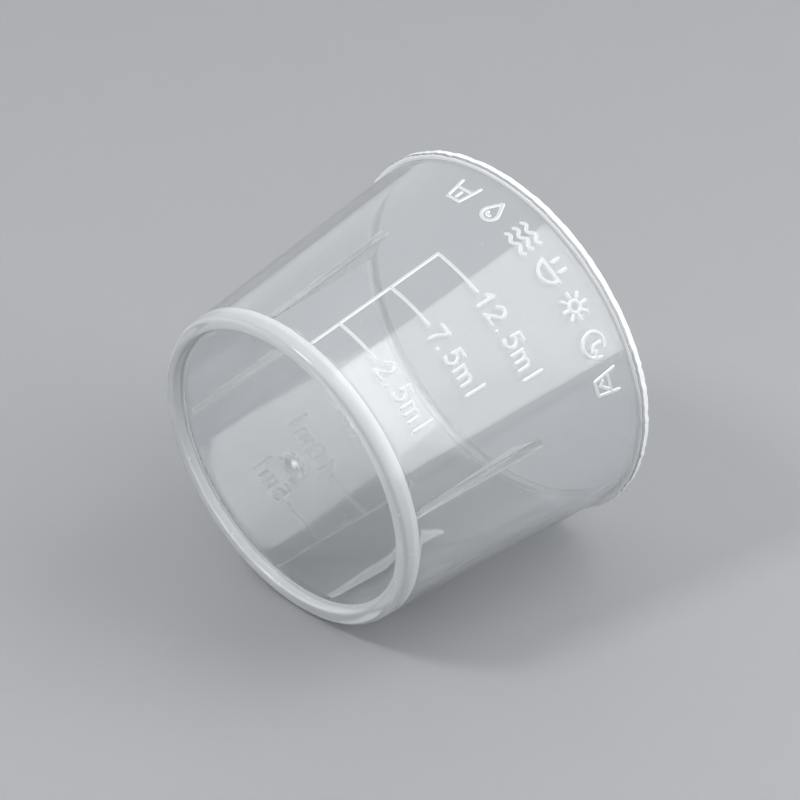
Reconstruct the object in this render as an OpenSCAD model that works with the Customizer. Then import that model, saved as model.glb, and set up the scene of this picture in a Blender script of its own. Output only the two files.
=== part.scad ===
// Graduated dosing cup: a small tapered measuring cup, moulded in one shot in natural polypropylene.
// Each moulded feature is one closed solid, and they meet face to face without overlapping.
// Frame: +Z up the axis, origin at the centre of the foot's flat underside. Angles run
// anticlockwise from +X, seen from above the mouth. All lengths are in millimetres.

/* [Cup] */
// Outer diameter at the foot, where the wall would meet the table without its round
foot_d = 32; // [29:0.5:60]
// Height from the foot's underside to the mouth
cup_h = 28.8; // [23.5:0.1:60]
// Thickness of the side wall, measured level
wall_t = 0.9; // [0.6:0.05:1.4]
// Draft of the wall: its lean away from the axis, in degrees
draft = 5; // [2:0.25:8]

/* [Floor and foot] */
// Thickness of the floor
floor_t = 0.8; // [0.5:0.05:1.5]
// Depth of the recess under the floor, which is the height of the foot ring
foot_h = 0.9; // [0.9:0.1:3]
// Radial width of the foot ring
foot_w = 1.35; // [1.2:0.05:3]
// Round of the foot's outer edge
foot_outer_round = 0.5; // [0.1:0.05:0.7]
// Round of the foot's inner edge
foot_inner_round = 0.25; // [0.1:0.05:0.4]
// Fillet between the floor and the wall, inside the cup
corner_round = 0.6; // [0.3:0.05:1.5]
// Rise of the floor at its middle, which keeps the cup from rocking
floor_camber = 0.4; // [0:0.05:0.8]

/* [Gate mark] */
// Radius of the shallow dimple round the gate
gate_r = 1.4; // [1:0.1:3]
// Depth of the dimple
gate_depth = 0.3; // [0.1:0.05:0.4]
// Radius of the pip that the gate leaves
pip_r = 0.45; // [0.2:0.05:0.8]
// Height of the pip
pip_h = 0.25; // [0.1:0.05:0.6]

/* [Rim] */
// How far the lip stands out from the wall
lip_out = 0.35; // [0.1:0.05:2]
// Height of the lip's outer face
lip_h = 1; // [0.6:0.1:3]
// Round of the lip's two outer edges
lip_round = 0.2; // [0.05:0.05:0.25]
// Round of the mouth's inner edge
mouth_round = 0.2; // [0.05:0.05:0.4]

/* [Grip ribs] */
// Angle of the first rib
rib_first = 38; // [0:1:90]
// Thickness of a rib
rib_t = 0.7; // [0.4:0.05:2]
// How far a rib stands out from the wall at floor level, where it is thinnest
rib_bite = 0.05; // [0:0.05:0.3]
// Height at which a rib runs out into the wall
rib_top = 16.9; // [10:0.1:20]
// Height of a rib's slanted tip
rib_tip = 2.3; // [1:0.1:5]

/* [Scale] */
// Volume between neighbouring marks, in millilitres
graduation = 2.5; // [1:0.5:2.5]
// Width of a raised stroke
stroke_w = 0.38; // [0.2:0.02:0.8]
// Height of a raised stroke above the wall
relief = 0.12; // [0.05:0.01:0.3]
// Angle that a tick takes up, from its stem
tick_arc = 17.3; // [8:0.1:20]
// Angle kept free for the numbers of the 2.5, 7.5 and 12.5 ml scale, gap included
label_a_arc = 31; // [10:0.5:35]
// Angle kept free for the numbers of the 5, 10 and 15 ml scale, gap included
label_b_arc = 22; // [10:0.5:35]
// Height of a stem's lower end above the floor
stem_start = 0.1; // [0:0.1:2]

/* [Hidden] */
$fn = 128;
natural = [0.86, 0.88, 0.9];
relief_tone = [0.95, 0.96, 0.97];
marks = 3;
rib_count = 4;
arc_steps = 6;
floor_top = foot_h + floor_t;
foot_inner_r = foot_d / 2 - foot_w;
rib_step = 360 / rib_count;
rib_face_r = inner_r(floor_top) - rib_bite;
corner_z = floor_top + corner_round;
corner_r = inner_r(corner_z) - corner_round / cos(draft);
floor_edge_r = max(corner_r, foot_inner_r + foot_inner_round);
mouth_z = cup_h - mouth_round;
mouth_r = inner_r(mouth_z) + mouth_round / cos(draft);
scale_a_mid = rib_first + rib_step / 2;
scale_b_mid = scale_a_mid + 180;

// Radius of the wall's outer and inner faces at height z
function outer_r(z) = foot_d / 2 + z * tan(draft);
function inner_r(z) = outer_r(z) - wall_t;

// Points along an arc, from angle a0 to angle a1
function arc(cx, cz, r, a0, a1) =
    [for (i = [0:arc_steps]) let (a = a0 + (a1 - a0) * i / arc_steps) [cx + r * cos(a), cz + r * sin(a)]];

// Volume held up to depth d above the floor's edge, less what the floor's rise takes up
function volume(d) =
    PI * (pow(inner_r(floor_top + d), 3) - pow(inner_r(floor_top), 3)) / (3 * tan(draft))
    - PI * pow(corner_r, 2) * floor_camber / 2;

// Depth that holds volume v, found by Newton's method in n steps
function depth(v, d, n) =
    n == 0 ? d : depth(v, d - (volume(d) - v) / (PI * pow(inner_r(floor_top + d), 2)), n - 1);

// Height of the mark for ml millilitres
function mark_z(ml) = floor_top + depth(1000 * ml, 1000 * ml / (PI * pow(foot_d / 2, 2)), 8);

// Rise of the floor at radius r above its edge
function rise(r) = floor_camber * (1 - pow(r / corner_r, 2));

// The hollow's outline beside the wall: corner fillet, wall, mouth round
function hollow_edge() = concat(
    arc(corner_r, corner_z, corner_round, -90, -draft),
    arc(mouth_r, mouth_z, mouth_round, 180 - draft, 90));

module side_wall() {
    color(natural)
    rotate_extrude()
    polygon(concat(
        [[floor_edge_r, foot_h], [outer_r(foot_h), foot_h], [outer_r(cup_h), cup_h]],
        [for (i = [len(hollow_edge()) - 1:-1:0]) hollow_edge()[i]]));
}

// The floor's underside reaches out over the foot ring's inner edge, however thick the wall is
module floor_plate() {
    rings = 8;
    gate_rings = 4;
    under = [for (i = [0:gate_rings]) let (r = pip_r + (gate_r - pip_r) * i / gate_rings)
        [r, foot_h + rise(r) + gate_depth * (1 - pow((r - pip_r) / (gate_r - pip_r), 2))]];
    out = [for (i = [1:rings - 1]) let (r = gate_r + (corner_r - gate_r) * i / rings) [r, foot_h + rise(r)]];
    top = [for (i = [0:rings]) let (r = corner_r * (1 - i / rings)) [r, floor_top + rise(r)]];
    color(natural)
    rotate_extrude()
    polygon(concat([[0, pip_seat_z()]], under, out, [[floor_edge_r, foot_h]], top));
}

// Height of the flat at the bottom of the gate's dimple
function pip_seat_z() = foot_h + rise(pip_r) + gate_depth;

module gate_pip() {
    color(relief_tone)
    translate([0, 0, pip_seat_z() - pip_h])
    cylinder(h = pip_h, r1 = pip_r * 0.7, r2 = pip_r);
}

module foot_ring() {
    round_r = outer_r(foot_outer_round) - foot_outer_round / cos(draft);
    color(natural)
    rotate_extrude()
    polygon(concat(
        arc(foot_inner_r + foot_inner_round, foot_inner_round, foot_inner_round, 180, 270),
        arc(round_r, foot_outer_round, foot_outer_round, -90, -draft),
        [[outer_r(foot_h), foot_h], [foot_inner_r, foot_h]]));
}

module rim_lip() {
    lip_r = outer_r(cup_h) + lip_out;
    base_z = cup_h - lip_h;
    color(natural)
    rotate_extrude()
    polygon(concat(
        [[outer_r(base_z), base_z]],
        arc(lip_r - lip_round, base_z + lip_round, lip_round, -90, 0),
        arc(lip_r - lip_round, cup_h - lip_round, lip_round, 0, 90),
        [[outer_r(cup_h), cup_h]]));
}

// The space inside the wall, which cuts each rib to the wall's and the fillet's shape
module hollow() {
    rotate_extrude()
    polygon(concat([[0, floor_top]], hollow_edge(), [[0, cup_h]]));
}

// A rib is a thin fin whose inner face runs parallel to the axis, so it deepens towards the mouth
module grip_rib(index) {
    angle = rib_first + rib_step * (index - 1);
    outside = outer_r(cup_h);
    color(natural)
    intersection() {
        rotate([0, 0, angle])
        rotate([90, 0, 0])
        linear_extrude(height = rib_t, center = true)
        polygon([[rib_face_r, floor_top], [outside, floor_top], [outside, rib_top],
                 [inner_r(rib_top), rib_top], [rib_face_r, rib_top - rib_tip]]);
        hollow();
    }
}

// A raised stroke round the wall at height z, from its own angle 0 to arc_deg
module tick(z, arc_deg) {
    low = z - stroke_w / 2;
    high = z + stroke_w / 2;
    rotate_extrude(angle = arc_deg)
    polygon([[outer_r(low), low], [outer_r(low) + relief, low + relief / 2],
             [outer_r(high) + relief, high - relief / 2], [outer_r(high), high]]);
}

// A raised stroke up the wall, as wide as a tick is high
module stem(z0, z1) {
    arc_deg = stroke_w / outer_r((z0 + z1) / 2) * 180 / PI;
    rotate_extrude(angle = arc_deg)
    polygon([[outer_r(z0), z0], [outer_r(z0) + relief, z0 + relief],
             [outer_r(z1) + relief, z1 - relief / 2], [outer_r(z1), z1]]);
}

// A stem with its ticks, centred with its numbers on the angle mid
module scale_marks(first_ml, label_arc, mid) {
    color(relief_tone)
    rotate([0, 0, mid - (tick_arc + label_arc) / 2]) {
        stem(floor_top + stem_start, mark_z(first_ml + 2 * graduation * (marks - 1)) + stroke_w / 2);
        for (i = [0:marks - 1]) tick(mark_z(first_ml + 2 * graduation * i), tick_arc);
    }
}

module scale_a() { scale_marks(graduation, label_a_arc, scale_a_mid); }
module scale_b() { scale_marks(2 * graduation, label_b_arc, scale_b_mid); }

side_wall();
floor_plate();
foot_ring();
rim_lip();
grip_rib(1);  // grip_rib_1
grip_rib(2);  // grip_rib_2
grip_rib(3);  // grip_rib_3
grip_rib(4);  // grip_rib_4
scale_a();
scale_b();
gate_pip();
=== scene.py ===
"""Visual model of a small graduated dosing cup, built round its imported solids. Sizes are worked out in
millimetres, and the finished meshes are in metres."""

import bpy
import numpy as np
from mathutils import Matrix, Vector
from mathutils.geometry import delaunay_2d_cdt


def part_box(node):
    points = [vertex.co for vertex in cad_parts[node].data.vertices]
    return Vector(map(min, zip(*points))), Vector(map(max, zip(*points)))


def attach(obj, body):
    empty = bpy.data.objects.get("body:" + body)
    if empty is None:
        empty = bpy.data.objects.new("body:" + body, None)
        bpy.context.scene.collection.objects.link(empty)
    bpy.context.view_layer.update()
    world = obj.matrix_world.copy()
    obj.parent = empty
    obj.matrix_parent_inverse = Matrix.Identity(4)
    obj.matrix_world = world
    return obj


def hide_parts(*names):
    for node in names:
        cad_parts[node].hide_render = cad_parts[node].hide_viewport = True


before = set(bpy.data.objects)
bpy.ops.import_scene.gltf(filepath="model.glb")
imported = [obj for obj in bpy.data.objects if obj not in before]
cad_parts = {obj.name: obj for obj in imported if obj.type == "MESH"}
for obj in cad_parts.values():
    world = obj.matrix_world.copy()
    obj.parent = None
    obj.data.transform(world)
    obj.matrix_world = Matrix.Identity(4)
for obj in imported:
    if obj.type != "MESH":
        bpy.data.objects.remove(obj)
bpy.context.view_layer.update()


# ---------------------------------------------------------------------------------------------
# The turned shape: foot, floor, wall and lip.
# The cup is one shot of natural polypropylene from a gate in the middle of its floor. The cavity
# and the core are turned steel, so but for ribs and marks each face is a profile swept round +Z.

MM = 0.001
FOOT_R = 16.0
DRAFT = np.radians(5.0)
WALL_T = 0.9
FLOOR_T = 0.8
FOOT_W = 1.35
CAMBER = 0.4
CORNER_ROUND = 0.6
MOUTH_ROUND = 0.2
FOOT_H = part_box("foot_ring")[1].z / MM
MOUTH_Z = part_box("side_wall")[1].z / MM
LIP_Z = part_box("rim_lip")[0].z / MM
LIP_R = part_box("rim_lip")[1].x / MM
FLOOR_TOP = FOOT_H + FLOOR_T
BAND_LOW, BAND_HIGH = FLOOR_TOP, LIP_Z


def outer_r(z):
    """Radius of the wall's outer face: the foot's radius plus height times the tangent of the draft."""
    return FOOT_R + z * np.tan(DRAFT)


def inner_r(z):
    """Radius of the wall's inner face: the outer face's less the wall's thickness."""
    return outer_r(z) - WALL_T


def arc(cx, cz, radius, start, end, count):
    """Points on a circle round (cx, cz), evenly spaced from start to end, which are angles in degrees."""
    turn = np.radians(np.linspace(start, end, count))
    return np.column_stack([cx + radius * np.cos(turn), cz + radius * np.sin(turn)])


def straight(start, end, count):
    """Points between two ends, with neither end."""
    return np.linspace(start, end, count + 2)[1:-1]


corner_z = FLOOR_TOP + CORNER_ROUND
corner_r = inner_r(corner_z) - CORNER_ROUND / np.cos(DRAFT)


def rise(r):
    """The floor's dome: its rise times one less the square of the radius over the floor's radius."""
    return CAMBER * (1 - (r / corner_r) ** 2)


def underside():
    """The profile below the wall: rounded foot, recess, domed floor, and the gate's dimple and pip. The
    floor's first ring, thick_edge wide, is set apart to be as white as the foot beside it."""
    foot_round, inner_round, fillet, thick_edge = 0.5, 0.25, 0.2, 0.25
    gate_r, gate_depth, pip_r, pip_h, pip_flat, pip_round = 1.4, 0.3, 0.45, 0.25, 0.55, 0.4
    foot_in = FOOT_R - FOOT_W
    round_r = outer_r(foot_round) - foot_round / np.cos(DRAFT)
    floor_r = np.linspace(foot_in - fillet - thick_edge, gate_r, 14)
    dimple_r = np.linspace(gate_r, pip_r, 9)[1:]
    fall = 0.5 - 0.5 * np.cos(np.pi * (dimple_r - pip_r) / (gate_r - pip_r))
    seat_z = FOOT_H + rise(pip_r) + gate_depth
    return np.vstack([
        [[outer_r(BAND_LOW), BAND_LOW], [outer_r(FOOT_H), FOOT_H]],
        arc(round_r, foot_round, foot_round, -np.degrees(DRAFT), -90, 8),
        arc(foot_in + inner_round, inner_round, inner_round, 270, 180, 6),
        arc(foot_in - fillet, FOOT_H - fillet, fillet, 0, 90, 5),
        np.column_stack([floor_r, FOOT_H + rise(floor_r)]),
        np.column_stack([dimple_r, FOOT_H + rise(dimple_r) + gate_depth * (1 - fall)]),
        arc(pip_r * pip_flat, seat_z - pip_h * (1 - pip_round), pip_h * pip_round, 0, -90, 4),
        [[0.0, seat_z - pip_h]]])


def inside():
    """The profile from the lip's underside round the mouth, down the inner wall and across the floor. Its
    points are closest at the rounds and at both ends of the ribs' slanted tips."""
    lip_round = 0.2
    mouth_z = MOUTH_Z - MOUTH_ROUND
    mouth_r = inner_r(mouth_z) + MOUTH_ROUND / np.cos(DRAFT)
    tip = RIB_TOP - RIB_TIP
    wall_z = np.concatenate([
        np.linspace(mouth_z - 0.4, RIB_TOP + 0.4, 12), [RIB_TOP + 0.1, RIB_TOP],
        np.linspace(RIB_TOP - 0.15, tip + 0.2, 9), [tip + 0.08, tip, tip - 0.08],
        np.linspace(tip - 0.4, corner_z + 1.2, 14), np.linspace(corner_z + 0.9, corner_z + 0.1, 5)])
    floor_r = np.linspace(corner_r, 0, 16)[1:]
    return np.vstack([
        [[outer_r(LIP_Z), LIP_Z]],
        arc(LIP_R - lip_round, LIP_Z + lip_round, lip_round, -90, 0, 6),
        straight([LIP_R, LIP_Z + lip_round], [LIP_R, MOUTH_Z - lip_round], 2),
        arc(LIP_R - lip_round, MOUTH_Z - lip_round, lip_round, 0, 90, 6),
        straight([LIP_R - lip_round, MOUTH_Z], [mouth_r, MOUTH_Z], 2),
        arc(mouth_r, mouth_z, MOUTH_ROUND, 90, 180 - np.degrees(DRAFT), 6),
        np.column_stack([inner_r(wall_z), wall_z]),
        arc(corner_r, corner_z, CORNER_ROUND, -np.degrees(DRAFT), -90, 8),
        np.column_stack([floor_r, FLOOR_TOP + rise(floor_r)])])


# ---------------------------------------------------------------------------------------------
# The four grip ribs.
# Thin fins inside the wall, moulded with it, that hold the upturned cup on its bottle's cap. Their
# inner faces run parallel to the axis, so each starts as a point at the floor and deepens upwards.

RIB_ANGLES = np.radians(38 + 90 * np.arange(4))
RIB_HALF = 0.27
RIB_SIDE = 0.16
RIB_TOP = 16.9
RIB_TIP = 2.3
RIB_BITE = 0.05
rib_face_r = inner_r(FLOOR_TOP) - RIB_BITE

# The turns that profiles are swept to: even ones, and closer ones across each rib's two sides.
TURN_STEP, TURN_GAP = 1.25, 0.004
rib_steps = np.array([0, 0.12, 0.21, 0.26, 0.29, 0.32, 0.35, 0.38, 0.41, 0.44, 0.5]) / FOOT_R
rib_turns = RIB_ANGLES[:, None] + np.concatenate([-rib_steps[:0:-1], rib_steps])
plain_turns = np.radians(np.arange(0, 360, TURN_STEP))
near_rib = np.abs((plain_turns[:, None] - RIB_ANGLES + np.pi) % (2 * np.pi) - np.pi).min(axis=1)
turns = np.sort(np.concatenate([plain_turns[near_rib > rib_steps[-1] + TURN_GAP], rib_turns.ravel()]))


def rib_share():
    """For each turn, 1 on a rib, 0 off it, and a smooth step across each of the rib's sides."""
    across = np.abs(np.sin(turns[:, None] - RIB_ANGLES)) * FOOT_R
    across = np.where(np.cos(turns[:, None] - RIB_ANGLES) > 0, across, np.inf).min(axis=1)
    side = np.clip((RIB_HALF + RIB_SIDE - across) / RIB_SIDE, 0, 1)
    return side * side * (3 - 2 * side)


def swept(profile, with_ribs=False):
    """Points of a profile swept round +Z, one row for each profile point and one column for each turn.
    Ribs bring the wall in to their face's radius, as far as the rib's share. The lip is as uneven as a
    mould's parting line leaves it: sine waves and seeded steps round it, least at the lip's root."""
    tear, flash_size, upper_lip, flash_lag, hair = 0.8, 0.07, 0.3, 0.9, 0.01
    r = np.repeat(profile[:, :1], len(turns), axis=1)
    z = np.repeat(profile[:, 1:], len(turns), axis=1)
    if with_ribs:
        up = np.clip((z - (RIB_TOP - RIB_TIP)) / RIB_TIP, 0, 1)
        face = rib_face_r + (inner_r(RIB_TOP) - rib_face_r) * up
        inner = (z < RIB_TOP) & (z > FLOOR_TOP) & (r < inner_r(z) + hair)
        r = np.where(inner, r - rib_share() * np.clip(r - face, 0, None), r)
        chance = np.random.default_rng(7)
        counts = np.array([3, 7, 19, 31, 53, 71, 97, 131])
        starts = chance.uniform(0, 2 * np.pi, len(counts))
        waves = np.sin(turns[:, None] * counts + starts).sum(axis=1) / len(counts)
        torn = chance.uniform(-tear, tear, len(plain_turns)) * (chance.uniform(size=len(plain_turns)) > 0.5)
        flash = waves + np.interp(turns, plain_turns, torn, period=2 * np.pi)
        outward = np.clip((r - inner_r(z)) / (LIP_R - inner_r(MOUTH_Z)), 0, 1) * (z > LIP_Z - hair)
        outward[0] = 0
        r = r + outward ** 2 * flash * flash_size
        lifted = np.interp(turns + flash_lag, turns, flash, period=2 * np.pi)
        z = z + outward * (z > MOUTH_Z - upper_lip) * lifted * flash_size
    return np.stack([r * np.cos(turns), r * np.sin(turns), z], axis=-1)


# ---------------------------------------------------------------------------------------------
# The raised marks on the outer wall: two scales with their numbers, and a row of use symbols.
# They are engraved in the mould with a round cutter, so each is a stroke of even width that stands
# proud of the wall with steep sides. They are drawn flat, as millimetres along and up the wall.

STROKE = 0.36
SIDE = 0.09
RELIEF = 0.12
FLAT_R = 17.3
GRADUATION = 2.5
TICK_ARC, GAP_ARC = 17.3, 2.0
SCALE_A_MID, SCALE_B_MID = 83, 263


def volume(depth):
    """Volume up to a depth: a frustum's, from the cubes of its radii, less half the dome's cylinder."""
    cubes = inner_r(FLOOR_TOP + depth) ** 3 - inner_r(FLOOR_TOP) ** 3
    return np.pi * cubes / (3 * np.tan(DRAFT)) - np.pi * corner_r ** 2 * CAMBER / 2


def mark_z(ml):
    """Height of a mark: the depth that holds its volume, by Newton's method, above the floor."""
    depth = 1000 * ml / (np.pi * FOOT_R ** 2)
    for step in range(8):
        depth -= (volume(depth) - 1000 * ml) / (np.pi * inner_r(FLOOR_TOP + depth) ** 2)
    return FLOOR_TOP + depth


def bow(cx, cy, rx, ry, start, end, count=13):
    """Points on an ellipse round (cx, cy) from the angle start to the angle end, in degrees."""
    turn = np.radians(np.linspace(start, end, count))
    return np.column_stack([cx + rx * np.cos(turn), cy + ry * np.sin(turn)])


# Characters in units of a digit's height: how far each moves the pen on, and its strokes.
CHARACTERS = {
    "0": (0.92, [np.vstack([bow(0.3, 0.66, 0.28, 0.34, 0, 180),
                            bow(0.3, 0.34, 0.28, 0.34, 180, 360), [[0.58, 0.66]]])]),
    "1": (0.75, [[[0.0, 0.74], [0.22, 1.0], [0.22, 0.0]]]),
    "2": (0.95, [np.vstack([bow(0.28, 0.71, 0.27, 0.29, 170, -38), [[0.0, 0.0], [0.57, 0.0]]])]),
    "5": (0.84, [np.vstack([[[0.51, 1.0], [0.1, 1.0], [0.07, 0.52]],
                            bow(0.26, 0.33, 0.28, 0.33, 125, -138)])]),
    "7": (0.84, [np.vstack([[[0.0, 1.0], [0.6, 1.0]], bow(0.78, 0.0, 0.56, 0.84, 130, 180, 7)])]),
    ".": (0.52, [[[0.0, 0.0], [0.02, 0.0]]]),
    "m": (1.3, [[[0.02, 0.0], [0.02, 0.68]],
                np.vstack([bow(0.22, 0.46, 0.2, 0.2, 180, 0, 9), [[0.42, 0.0]]]),
                np.vstack([bow(0.62, 0.46, 0.2, 0.2, 180, 0, 9), [[0.82, 0.0]]])]),
    "l": (0.3, [[[0.04, 0.0], [0.04, 1.12]]]),
}


def number(words, x, y, height):
    """The strokes of a row of characters, with its lower left corner at (x, y)."""
    drawn = []
    for character in words:
        advance, strokes = CHARACTERS[character]
        drawn += [np.array(s) * height + [x, y] for s in strokes]
        x += advance * height
    return drawn


def scale_marks(first_ml, label_arc, middle):
    """A scale's stem, ticks and numbers, centred together on the angle middle, in degrees."""
    digit_h, drop, nudge, stem_start = 1.9, 0.84, 0.1, 0.25
    along = np.radians(1) * FLAT_R
    start = (middle - (TICK_ARC + label_arc) / 2) * along
    values = [first_ml + 2 * GRADUATION * i for i in range(3)]
    drawn = [[[start, FLOOR_TOP + stem_start], [start, mark_z(values[-1])]]]
    for ml in values:
        words = f"{ml:g}ml"
        drawn.append([[start, mark_z(ml)], [start + TICK_ARC * along, mark_z(ml)]])
        drawn += number(words, start + (TICK_ARC + GAP_ARC) * along + nudge, mark_z(ml) - drop, digit_h)
    return [np.array(s, float) for s in drawn]


# Symbols in a box one unit square: beaker, drop, waves, basin, sun, clock and ticked beaker, which stand
# for fill, rinse, wash, soak, dry, wait and ready.
DROP = np.vstack([[[0.5, 0.95]], bow(0.5, 0.34, 0.27, 0.3, 25, -205, 17), [[0.5, 0.95]]])
BEAKER = [[[0.1, 0.92], [0.24, 0.05], [0.76, 0.05], [0.9, 0.92]], [[0.16, 0.6], [0.84, 0.6]]]
WAVE = np.column_stack([np.linspace(0.04, 0.96, 21), 0.09 * np.sin(np.linspace(0, 4 * np.pi, 21))])
BASIN = np.vstack([[[0.03, 0.5]], bow(0.5, 0.5, 0.42, 0.46, 180, 360, 15), [[0.97, 0.5]]])
SYMBOLS = [
    BEAKER + [[[0.5, 0.2], [0.5, 0.42]]],
    [DROP, bow(0.5, 0.36, 0.1, 0.12, 180, 300, 5)],
    [WAVE + [0, 0.14], WAVE + [0, 0.5], WAVE + [0, 0.86]],
    [BASIN, [[0.03, 0.5], [0.97, 0.5]], [[0.3, 0.98], [0.3, 0.72]], [[0.7, 0.98], [0.7, 0.72]]],
    [bow(0.5, 0.5, 0.2, 0.2, 0, 360, 17)] + [
        [[0.5 + 0.33 * np.cos(a), 0.5 + 0.33 * np.sin(a)], [0.5 + 0.47 * np.cos(a), 0.5 + 0.47 * np.sin(a)]]
        for a in np.radians(np.arange(0, 360, 45))],
    [bow(0.5, 0.5, 0.43, 0.43, 60, 350, 21), [[0.98, 0.62], [0.93, 0.38], [0.72, 0.5]],
     [[0.5, 0.75], [0.5, 0.48], [0.68, 0.36]]],
    BEAKER + [[[0.34, 0.36], [0.47, 0.22], [0.68, 0.48]]],
]


def symbol_row():
    """Seven symbols at an even pitch just under the lip, centred between the first two ribs."""
    width, height, pitch, low_z = 2.75, 2.75, 12.5, 23.45
    along = np.radians(1) * FLAT_R
    drawn = []
    for i, strokes in enumerate(SYMBOLS):
        left = (SCALE_A_MID + (i - 3) * pitch) * along - width / 2
        drawn += [np.array(s, float) * [width, height] + [left, low_z] for s in strokes]
    return drawn


def spans(strokes):
    """All strokes as one array of straight spans: x and y of one end, x and y of the other."""
    return np.vstack([np.hstack([s[:-1], s[1:]]) for s in strokes])


def edge_distance(points, lines):
    """Distance from each point to the nearest stroke's edge, negative inside it, and the way outwards:
    the point's distance to the nearest place on each span, the least of them, less half the width."""
    best = np.full(len(points), np.inf)
    away = np.zeros((len(points), 2))
    at_once, tiny = 20000, 1e-9
    for chunk in np.array_split(np.arange(len(points)), max(1, len(points) // at_once)):
        p = points[chunk][:, None]
        a, b = lines[None, :, :2], lines[None, :, 2:]
        ab = b - a
        t = np.clip(((p - a) * ab).sum(-1) / np.maximum((ab * ab).sum(-1), tiny), 0, 1)
        off = p - (a + t[..., None] * ab)
        length = np.sqrt((off * off).sum(-1))
        k = length.argmin(axis=1)
        row = np.arange(len(chunk))
        best[chunk] = length[row, k] - STROKE / 2
        away[chunk] = off[row, k] / np.maximum(length[row, k], tiny)[:, None]
    return best, away


def contour(field, xs, ys, level):
    """Marching squares: where a field on a grid crosses a level, as points and the pairs that they join.
    A point lies on each grid edge whose ends differ, placed by linear interpolation."""
    f = field - level
    inside_f = f < 0
    flat_cross = inside_f[:, :-1] != inside_f[:, 1:]
    tall_cross = inside_f[:-1] != inside_f[1:]
    flat_id = np.where(flat_cross, np.cumsum(flat_cross).reshape(flat_cross.shape) - 1, -1)
    tall_count = np.cumsum(tall_cross).reshape(tall_cross.shape) - 1
    tall_id = np.where(tall_cross, tall_count + flat_cross.sum(), -1)
    i, j = np.nonzero(flat_cross)
    t = f[i, j] / (f[i, j] - f[i, j + 1])
    flat_points = np.column_stack([xs[j] + t * (xs[j + 1] - xs[j]), ys[i]])
    i, j = np.nonzero(tall_cross)
    t = f[i, j] / (f[i, j] - f[i + 1, j])
    tall_points = np.column_stack([xs[j], ys[i] + t * (ys[i + 1] - ys[i])])
    sides = np.stack([flat_id[:-1], tall_id[:, :-1], flat_id[1:], tall_id[:, 1:]], axis=-1).reshape(-1, 4)
    crossed = (sides >= 0).sum(axis=1)
    pairs = np.sort(sides[crossed == 2], axis=1)[:, 2:]
    saddles = sides[crossed == 4]
    return np.vstack([flat_points, tall_points]), np.vstack([pairs, saddles[:, :2], saddles[:, 2:]])


LABEL_A_ARC, LABEL_B_ARC = 31, 22
marks = [scale_marks(GRADUATION, LABEL_A_ARC, SCALE_A_MID),
         scale_marks(2 * GRADUATION, LABEL_B_ARC, SCALE_B_MID), symbol_row()]
all_spans = np.vstack([spans(m) for m in marks])


def outer_wall():
    """The outer wall, unrolled: a triangulation of the band between foot and lip whose edges follow
    the strokes' lower and upper outlines. Returns flat points and triangles."""
    pitch, margin, fill_columns, fill_rows, clearance = 0.075, 0.4, 144, 20, 0.2
    weld, sliver = 1e-5, 1e-9
    points, edges, total = [], [], 0
    for strokes in marks:
        lines = spans(strokes)
        low = lines.reshape(-1, 2).min(axis=0) - margin
        high = lines.reshape(-1, 2).max(axis=0) + margin
        xs = np.arange(low[0], high[0], pitch)
        ys = np.arange(low[1], high[1], pitch)
        grid = np.stack(np.meshgrid(xs, ys), axis=-1).reshape(-1, 2)
        field = edge_distance(grid, lines)[0].reshape(len(ys), len(xs))
        for level in (0.0, -SIDE):
            found, pairs = contour(field, xs, ys, level)
            points.append(found)
            edges.append(pairs + total)
            total += len(found)
    border_x = np.append(turns, turns[0] + 2 * np.pi) * FLAT_R
    for z in (BAND_LOW, BAND_HIGH):
        points.append(np.column_stack([border_x, np.full(len(border_x), z)]))
        edges.append(np.column_stack([np.arange(len(border_x) - 1), np.arange(1, len(border_x))]) + total)
        total += len(border_x)
    heights = np.linspace(BAND_LOW, BAND_HIGH, fill_rows)[1:-1]
    for x in (border_x[0], border_x[-1]):
        points.append(np.column_stack([np.full(len(heights), x), heights]))
    fill_x = border_x[0] + np.arange(1, fill_columns) / fill_columns * 2 * np.pi * FLAT_R
    fill = np.stack(np.meshgrid(fill_x, heights), axis=-1).reshape(-1, 2)
    points.append(fill[edge_distance(fill, all_spans)[0] > clearance])
    sites, joined = [Vector(p) for p in np.vstack(points)], np.vstack(edges).tolist()
    flat, _, faces = delaunay_2d_cdt(sites, joined, [], 0, weld)[:3]
    flat = np.array([v[:] for v in flat])
    faces = np.array(faces)
    a, b, c = flat[faces[:, 0]], flat[faces[:, 1]], flat[faces[:, 2]]
    ab, ac = b - a, c - a
    area = ab[:, 0] * ac[:, 1] - ab[:, 1] * ac[:, 0]
    faces = faces[np.abs(area) > sliver]
    area = area[np.abs(area) > sliver]
    return flat, np.where(area[:, None] > 0, faces, faces[:, ::-1])


def wall_axes(turn):
    """At a turn, the wall's outward normal, the way round it and the way up it."""
    c, s, zero = np.cos(turn), np.sin(turn), np.zeros_like(turn)
    out = np.column_stack([c * np.cos(DRAFT), s * np.cos(DRAFT), zero - np.sin(DRAFT)])
    up = np.column_stack([c * np.sin(DRAFT), s * np.sin(DRAFT), zero + np.cos(DRAFT)])
    return out, np.column_stack([-s, c, zero]), up


# ---------------------------------------------------------------------------------------------
# The moulding as one closed mesh.
# A real cup has no joint between wall, floor, lip, ribs and marks, and light would show one, so the
# three surfaces share their border points and replace all of the solids.


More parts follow.
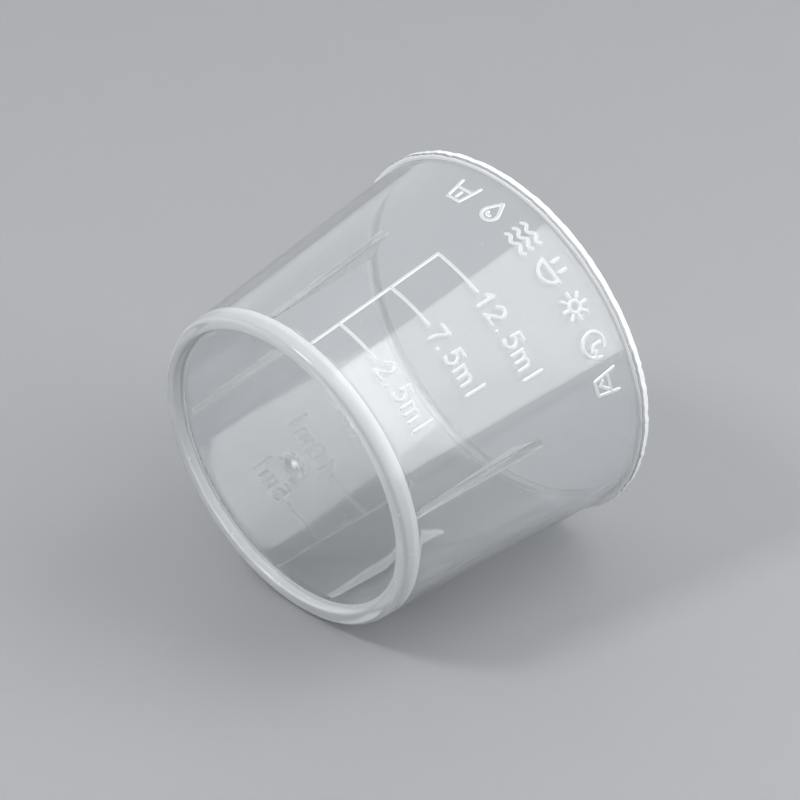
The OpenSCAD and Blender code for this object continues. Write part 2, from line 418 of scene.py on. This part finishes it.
def grid_normals(p, turned):
    """Normals of a swept grid: the product of its two slopes, where the slope at a point leans towards
    the shorter of its two spans, so that flats stay flat right up to a round."""
    step = np.diff(p, axis=0)
    length = np.linalg.norm(step, axis=-1, keepdims=True) + 1e-9
    way = step / length
    between = (way[:-1] * length[1:] + way[1:] * length[:-1]) / (length[1:] + length[:-1])
    down = np.concatenate([way[:1], between, way[-1:]])
    step = np.roll(p, -1, axis=1) - p
    length = np.linalg.norm(step, axis=-1, keepdims=True) + 1e-9
    way = step / length
    before, before_length = np.roll(way, 1, axis=1), np.roll(length, 1, axis=1)
    around = (before * length + way * before_length) / (length + before_length)
    n = np.cross(down, around) * turned
    return n / (np.linalg.norm(n, axis=-1, keepdims=True) + 1e-12)


def grid_faces(ids, turned):
    """Quads of a grid of point numbers, closed round its columns."""
    a, b = ids[:-1], ids[1:]
    right_a, right_b = np.roll(a, -1, axis=1), np.roll(b, -1, axis=1)
    quads = np.stack([a, b, right_b, right_a] if turned > 0 else [a, right_a, right_b, b], axis=-1)
    return quads.reshape(-1, 4)


POLISHED, MATT, THICK, ENGRAVED = 0, 1, 2, 3
UNDERSIDE, INSIDE = underside(), inside()
SAME_PLACE = 1e-4


def build_cup():
    """The cup's mesh: the unrolled wall bent round its cone, at outer_r(height) and the flat place's
    angle, and raised along its normal by the relief, joined to the two swept grids below and above it."""
    flat, triangles = outer_wall()
    lap = 2 * np.pi * FLAT_R
    turn = flat[:, 0] / FLAT_R
    edge, away = edge_distance(flat, all_spans)
    height = (edge < -SIDE / 2).astype(float)
    out, around, up = wall_axes(turn)
    r = outer_r(flat[:, 1])
    cone = np.column_stack([r * np.cos(turn), r * np.sin(turn), flat[:, 1]])
    wall = cone + out * (height * RELIEF)[:, None]

    # Normals at each triangle's corners: the cone's own on the wall and on a stroke's top, and tilted
    # outwards by the side's slope on a stroke's side.
    corner_height = height[triangles]
    on_side = np.ptp(corner_height, axis=1) > 0.5
    lean = RELIEF / SIDE
    tilted = out + lean * (away[:, :1] * around + away[:, 1:] * up)
    tilted /= np.linalg.norm(tilted, axis=1, keepdims=True)
    wall_normals = np.where(on_side[:, None, None], tilted[triangles], out[triangles])

    # The seam's two borders are the same points, and so are the borders with the swept grids.
    first = turns[0] * FLAT_R
    merge = np.arange(len(flat))
    left = np.nonzero(np.abs(flat[:, 0] - first) < SAME_PLACE)[0]
    right = np.nonzero(np.abs(flat[:, 0] - first - lap) < SAME_PLACE)[0]
    merge[right[np.argsort(flat[right, 1])]] = left[np.argsort(flat[left, 1])]
    borders = []
    for z in (BAND_LOW, BAND_HIGH):
        on_row = (np.abs(flat[:, 1] - z) < SAME_PLACE) & (flat[:, 0] < first + lap - SAME_PLACE)
        border = np.nonzero(on_row)[0]
        borders.append(border[np.argsort(flat[border, 0])])
    triangles = merge[triangles]
    kept = np.unique(triangles)
    renumbered = np.zeros(len(flat), int)
    renumbered[kept] = np.arange(len(kept))
    triangles, wall = renumbered[triangles], wall[kept]
    borders = [renumbered[border] for border in borders]

    # The marks' and ribs' sides and the lip's edges are matt. The foot, the mouth's round, the ribs'
    # faces and the gate's dimple are thicker than the wall or coarser, and so whiter. Rows are counted
    # along each profile: the lip's two rounds, then the mouth's, and below the cup the foot's rounds.
    lip_root, lip_face, mouth_start, mouth_end, foot_end = 4, 6, 15, 20, 21
    side_change, crest_share, rib_start, rib_margin = 0.02, 0.9, 0.8, 0.05
    thick_r, pip_edge_r = 1.2, 0.46
    rib = rib_share()
    next_rib = np.roll(rib, -1)
    row, low_z = np.arange(len(INSIDE) - 2)[:, None], INSIDE[1:-1, 1][:, None]
    ribbed = (low_z < RIB_TOP - rib_margin) & (low_z > FLOOR_TOP + rib_start)
    lip_edges = (row < lip_root) | ((row > lip_face) & (row < mouth_start))
    rib_sides = ribbed & (np.abs(rib - next_rib) > side_change)
    inner_finish = np.where(lip_edges | rib_sides, MATT, POLISHED)
    inner_finish = np.where((row >= mouth_start) & (row < mouth_end), THICK, inner_finish)
    crest = ribbed & (np.minimum(rib, next_rib) > crest_share)
    inner_finish = np.where(crest, THICK, inner_finish)
    row, radius = np.arange(len(UNDERSIDE) - 2)[:, None], UNDERSIDE[1:-1, 0][:, None]
    outer_finish = np.where((row < foot_end) | (radius < thick_r), THICK, POLISHED)
    outer_finish = np.where(radius < pip_edge_r, MATT, outer_finish) + np.zeros(len(turns), int)
    quad_finish = [outer_finish.ravel(), inner_finish.ravel()]

    points, quads, quad_normals, fans, fan_normals = [wall], [], [], [], []
    total = len(wall)
    for profile, border, turned in ((UNDERSIDE, borders[0], 1), (INSIDE, borders[1], -1)):
        grid = swept(profile, with_ribs=turned < 0)
        normals = grid_normals(grid[:-1], turned)
        body = grid[1:-1]
        ids = np.vstack([border, total + np.arange(body[..., 0].size).reshape(body.shape[:2])])
        pole = total + body[..., 0].size
        points += [body.reshape(-1, 3), grid[-1, :1]]
        total = pole + 1
        faces = grid_faces(ids, turned)
        places = np.arange(len(ids))[:, None] * len(turns) + np.arange(len(turns))
        quads.append(faces)
        quad_normals.append(normals.reshape(-1, 3)[grid_faces(places, turned)])
        ring, after = ids[-1], np.roll(ids[-1], -1)
        middle = np.full(len(ring), pole)
        fans.append(np.column_stack([ring, middle, after] if turned > 0 else [ring, after, middle]))
        pole_normal = np.broadcast_to([0.0, 0.0, -turned], (len(ring), 3))
        ring_n, after_n = normals[-1], np.roll(normals[-1], -1, axis=0)
        order = [ring_n, pole_normal, after_n] if turned > 0 else [ring_n, after_n, pole_normal]
        fan_normals.append(np.stack(order, axis=1))

    mesh = bpy.data.meshes.new("dosing_cup")
    faces = triangles.tolist() + np.vstack(fans).tolist() + np.vstack(quads).tolist()
    mesh.from_pydata((np.vstack(points) * MM).tolist(), [], faces)
    mesh.shade_smooth()
    tops = np.where(corner_height.min(axis=1) > 0.5, ENGRAVED, POLISHED)
    finish = [np.where(on_side, MATT, tops), np.repeat([MATT, POLISHED], len(turns))]
    mesh.polygons.foreach_set("material_index", np.concatenate(finish + quad_finish).astype(np.int32))
    corner_normals = np.vstack([wall_normals.reshape(-1, 3), np.vstack(fan_normals).reshape(-1, 3),
                                np.vstack(quad_normals).reshape(-1, 3)])
    mesh.normals_split_custom_set(corner_normals.tolist())
    moulding = bpy.data.objects.new("dosing_cup", mesh)
    bpy.context.scene.collection.objects.link(moulding)
    return moulding


cup = build_cup()


# ---------------------------------------------------------------------------------------------
# Natural polypropylene, moulded against polished steel.
# Unpigmented PP is clear with a slight milkiness from its crystals, and glossy where the mould was.
# Flow and shrinkage leave a faint unevenness and dust a few dull specks, and whatever the cutter made
# in the mould comes out duller than the polished wall.


def srgb(code):
    """A hex colour as linear red, green, blue and alpha."""
    part = np.array([int(code[i:i + 2], 16) for i in (1, 3, 5)]) / 255
    linear = np.where(part <= 0.04045, part / 12.92, ((part + 0.055) / 1.055) ** 2.4)
    return (*linear.tolist(), 1.0)


def add(tree, kind, links=(), **settings):
    """Adds a node. Settings with the name of an input fill it in, and any other is the node's own;
    links are pairs of an input's name or number and the socket that feeds it."""
    made = tree.nodes.new(kind)
    for name, value in settings.items():
        socket = made.inputs.get(name.replace("_", " ").title()) if not hasattr(made, name) else None
        if socket is not None:
            socket.default_value = value
        else:
            setattr(made, name, value)
    for name, source in links:
        tree.links.new(source, made.inputs[name])
    return made


def natural_polypropylene(name, clear, smooth, rough):
    """Its share of clear plastic, the rest scattering white, and its roughness from smooth to rough. The
    unevenness is some millimetres across, as melt flow leaves it, and the specks a third of one."""
    flow_size, flow_depth, speck_size = 3.5 * MM, 0.03 * MM, 0.35 * MM
    material = bpy.data.materials.new(name)
    material.use_nodes = True
    tree = material.node_tree
    tree.nodes.clear()
    place = add(tree, "ShaderNodeTexCoord").outputs["Object"]
    flow = add(tree, "ShaderNodeTexNoise", [("Vector", place)],
               scale=1 / flow_size, detail=1.0, roughness=0.5)
    dust = add(tree, "ShaderNodeTexNoise", [("Vector", place)],
               scale=1 / speck_size, detail=2.0, roughness=0.7)
    specks = add(tree, "ShaderNodeMapRange", [("Value", dust.outputs["Fac"])],
                 from_min=0.69, from_max=0.77, to_max=0.3)
    even = add(tree, "ShaderNodeMapRange", [("Value", flow.outputs["Fac"])], to_min=smooth, to_max=rough)
    gloss = add(tree, "ShaderNodeMath", [(0, even.outputs["Result"]), (1, specks.outputs["Result"])],
                operation="ADD")
    uneven = add(tree, "ShaderNodeBump", [("Height", flow.outputs["Fac"])],
                 strength=0.1, distance=flow_depth)
    shader = add(tree, "ShaderNodeBsdfPrincipled",
                 [("Roughness", gloss.outputs[0]), ("Normal", uneven.outputs["Normal"])])
    shader.inputs["Base Color"].default_value = srgb("#F6F8F9")
    shader.inputs["IOR"].default_value = 1.49
    shader.inputs["Transmission Weight"].default_value = clear
    add(tree, "ShaderNodeOutputMaterial", [("Surface", shader.outputs[0])])
    return material


# Polished wall and floor: almost clear, and glossy enough to mirror the softbox. Matt edges: frosted
# white, as the sides of an engraved line are. Thick parts: half milky, since there is more plastic to
# look through. Tops of the engraved marks: a little milky, and satin from the cutter's tracks.
for name, clear, smooth, rough in (("natural_polypropylene_polished", 0.93, 0.03, 0.07),
                                   ("natural_polypropylene_matt", 0.12, 0.35, 0.5),
                                   ("natural_polypropylene_thick", 0.5, 0.1, 0.16),
                                   ("natural_polypropylene_engraved", 0.62, 0.25, 0.35)):
    cup.data.materials.append(natural_polypropylene(name, clear, smooth, rough))
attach(cup, "root")
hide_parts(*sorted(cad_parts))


# ---------------------------------------------------------------------------------------------
# The stage: pale floors, soft light and the camera.
# The cup lies on its side in the main view and stands on its foot in the others, so there are two
# floors, one under its side and one under its foot. Each is seen from its own side only.

SHEETS, SHEET_GAP = 3, 0.000002


def floor(name, centre, normal, sheets, seen_by):
    """Pale matt sheets through a point, a hair apart. Light and eye pass through them from behind, and
    from in front too except where seen_by gives 1: it gets the number of clear sheets that the light has
    passed and the place's height."""
    half, facing = 0.9, Vector(normal).to_track_quat("Z", "Y").to_matrix()
    around = [(-1, -1), (1, -1), (1, 1), (-1, 1)]
    corners = [Vector(centre) + facing @ Vector((x * half, y * half, -i * SHEET_GAP))
               for i in range(sheets) for x, y in around]
    mesh = bpy.data.meshes.new(name)
    mesh.from_pydata(corners, [], np.arange(sheets * 4).reshape(-1, 4).tolist())
    sheet = bpy.data.objects.new(name, mesh)
    bpy.context.scene.collection.objects.link(sheet)
    material = bpy.data.materials.new(name)
    material.use_nodes = True
    tree = material.node_tree
    tree.nodes.clear()
    matt = add(tree, "ShaderNodeBsdfPrincipled")
    matt.inputs["Base Color"].default_value = srgb("#9C9DA0")
    matt.inputs["Roughness"].default_value = 0.45
    passed = add(tree, "ShaderNodeLightPath").outputs["Transparent Depth"]
    place = add(tree, "ShaderNodeTexCoord").outputs["Object"]
    height = add(tree, "ShaderNodeSeparateXYZ", [(0, place)]).outputs["Z"]
    behind = add(tree, "ShaderNodeNewGeometry").outputs["Backfacing"]
    front = add(tree, "ShaderNodeMath", [(1, behind)], operation="SUBTRACT")
    front.inputs[0].default_value = 1.0
    shown = add(tree, "ShaderNodeMath", [(0, seen_by(tree, passed, height)), (1, front.outputs[0])],
                operation="MULTIPLY")
    clear = add(tree, "ShaderNodeBsdfTransparent")
    both = add(tree, "ShaderNodeMixShader",
               [(0, shown.outputs[0]), (1, clear.outputs[0]), (2, matt.outputs[0])])
    add(tree, "ShaderNodeOutputMaterial", [("Surface", both.outputs[0])])
    mesh.materials.append(material)


def from_above(tree, passed, height):
    """1 where the ray has not come up through the three sheets under the foot."""
    test = add(tree, "ShaderNodeMath", [(0, passed)], operation="LESS_THAN")
    test.inputs[1].default_value = SHEETS - 0.5
    return test.outputs[0]


def from_below(tree, passed, height):
    """1 where the ray has come up through the three sheets under the foot, or lies below them."""
    came = add(tree, "ShaderNodeMath", [(0, passed)], operation="GREATER_THAN")
    came.inputs[1].default_value = SHEETS - 0.5
    low = add(tree, "ShaderNodeMath", [(0, height)], operation="LESS_THAN")
    low.inputs[1].default_value = 0.0
    either = add(tree, "ShaderNodeMath", [(0, came.outputs[0]), (1, low.outputs[0])], operation="MAXIMUM")
    return either.outputs[0]


# The floor under the side runs along the foot and the lip at 226 degrees, and a tenth of a millimetre
# off them so that the lip's uneven edge stays clear of it.
TOUCH, LIP_HALF, CLEAR_OF_LIP, BELOW_FOOT = np.radians(226), 0.5, 0.1 * MM, 0.001 * MM
lean = np.arctan2(LIP_R - FOOT_R, MOUTH_Z)
table_normal = np.array([-np.cos(TOUCH) * np.cos(lean), -np.sin(TOUCH) * np.cos(lean), np.sin(lean)])
table_point = np.array([LIP_R * np.cos(TOUCH), LIP_R * np.sin(TOUCH), MOUTH_Z - LIP_HALF]) * MM
floor("floor_under_side", table_point - table_normal * CLEAR_OF_LIP, table_normal, 1, from_below)
floor("floor_under_foot", (0, 0, -BELOW_FOOT), (0, 0, 1), SHEETS, from_above)


def direction(azimuth, elevation):
    """The way from the cup towards an azimuth, anticlockwise from +X, and an elevation, in degrees."""
    a, e = np.radians([azimuth, elevation])
    return Vector((np.cos(a) * np.cos(e), np.sin(a) * np.cos(e), np.sin(e)))


def softbox(name, azimuth, elevation, distance, width, height, watts):
    """A rectangular soft light that faces the cup's middle, its height along the cup's axis."""
    light = bpy.data.lights.new(name, "AREA")
    light.shape = "RECTANGLE"
    light.size, light.size_y, light.energy = width, height, watts
    lamp = bpy.data.objects.new(name, light)
    away = direction(azimuth, elevation)
    across = Vector((0, 0, 1)).cross(away).normalized()
    lamp.matrix_world = Matrix((across, away.cross(across), away)).transposed().to_4x4()
    lamp.location = Vector((0, 0, MOUTH_Z * MM / 2)) + away * distance
    bpy.context.scene.collection.objects.link(lamp)


softbox("key_softbox", azimuth=94, elevation=33, distance=0.26, width=0.38, height=0.17, watts=0.52)
softbox("foot_softbox", azimuth=33, elevation=-28, distance=0.3, width=0.06, height=0.06, watts=0.3)

world = bpy.data.worlds.new("studio")
world.use_nodes = True
world.node_tree.nodes["Background"].inputs["Color"].default_value = srgb("#E2E4E6")
world.node_tree.nodes["Background"].inputs["Strength"].default_value = 1.0
bpy.context.scene.view_settings.view_transform = "Standard"
bpy.context.scene.world = world

camera_data = bpy.data.cameras.new("camera")
camera_data.lens = 225
camera = bpy.data.objects.new("camera", camera_data)
aim = Vector((-0.2, 6.6, 10.8)) * MM
back = direction(90, -31.59)
roll = Matrix.Rotation(np.radians(57.04), 4, "Z")
away_m = 0.4573
facing = back.to_track_quat("Z", "Y").to_matrix().to_4x4()
camera.matrix_world = Matrix.Translation(aim + back * away_m) @ facing @ roll
camera_data.clip_start = 0.01
bpy.context.scene.collection.objects.link(camera)
bpy.context.scene.camera = camera
